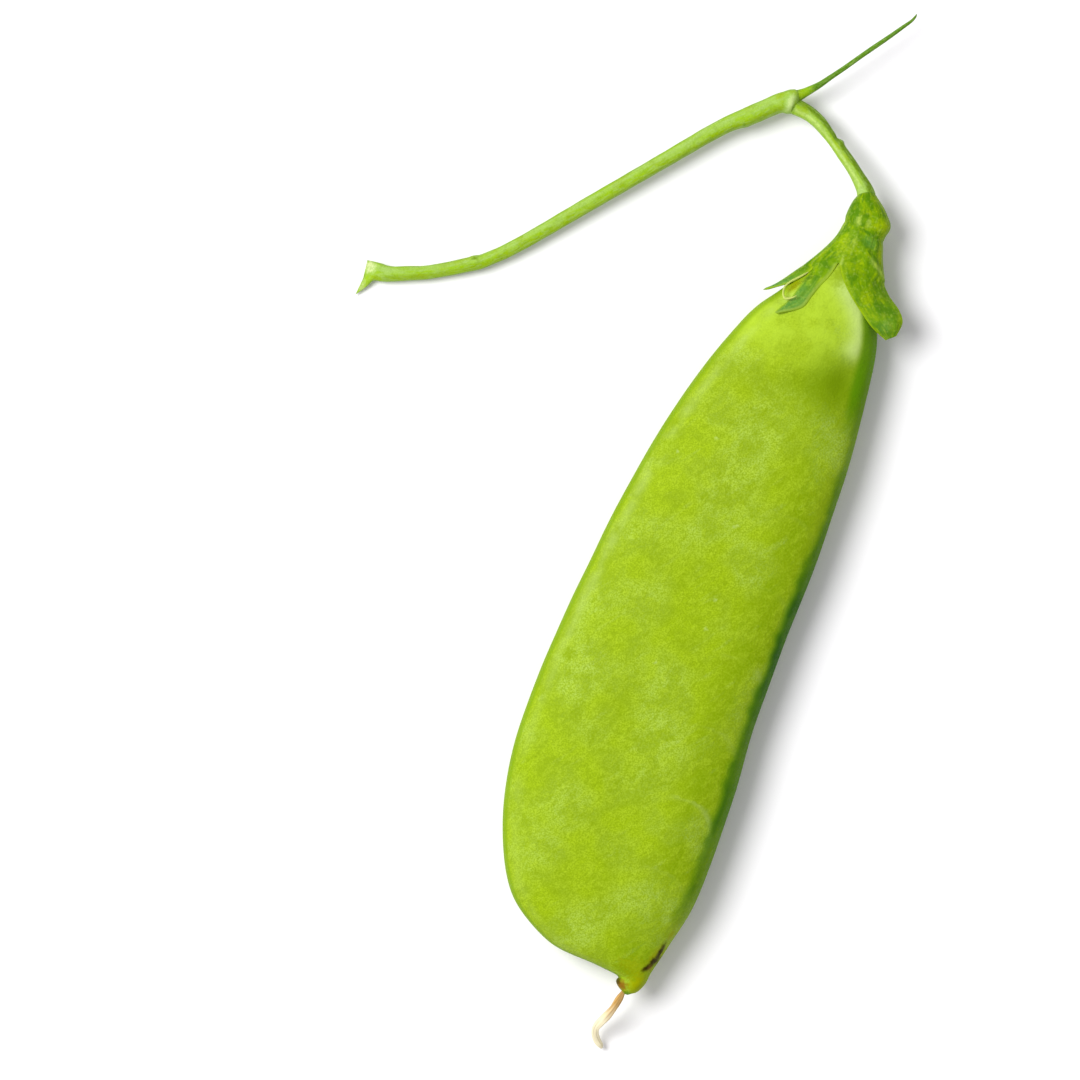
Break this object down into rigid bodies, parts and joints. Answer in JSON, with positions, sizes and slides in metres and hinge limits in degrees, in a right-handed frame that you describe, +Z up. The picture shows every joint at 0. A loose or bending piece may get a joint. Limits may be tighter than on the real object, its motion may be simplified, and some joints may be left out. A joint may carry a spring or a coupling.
{
  "type": "pea pod",
  "caption": "Whole green garden pea pod, picked with its calyx, pedicel and a length of stalk, lying on its flat side. Closed, broad and flattened, with a dry style on its beak.",
  "frame": {"origin": "on the surface that the pod lies on, in the flat patch under the middle of the pod", "axes": "+Y along the pod from its beak towards its stalk, +X across the pod towards its nearly straight seam edge, +Z up from the surface"},
  "size_m": [0.0532, 0.1084, 0.0084],
  "materials": {
    "pod_skin": "satin",
    "calyx_skin": "satin",
    "stalk_skin": "satin",
    "stalk_tip_skin": "satin",
    "dry_style": "matte",
    "dry_stamens": "matte"
  },
  "bodies": {
    "root": {"pod": "pod_skin", "calyx": "calyx_skin", "pedicel": "stalk_skin", "peduncle": "stalk_skin", "stalk_tip": "stalk_tip_skin", "style_remnant": "dry_style", "stamen_remnant": "dry_stamens"}
  },
  "joints": []
}
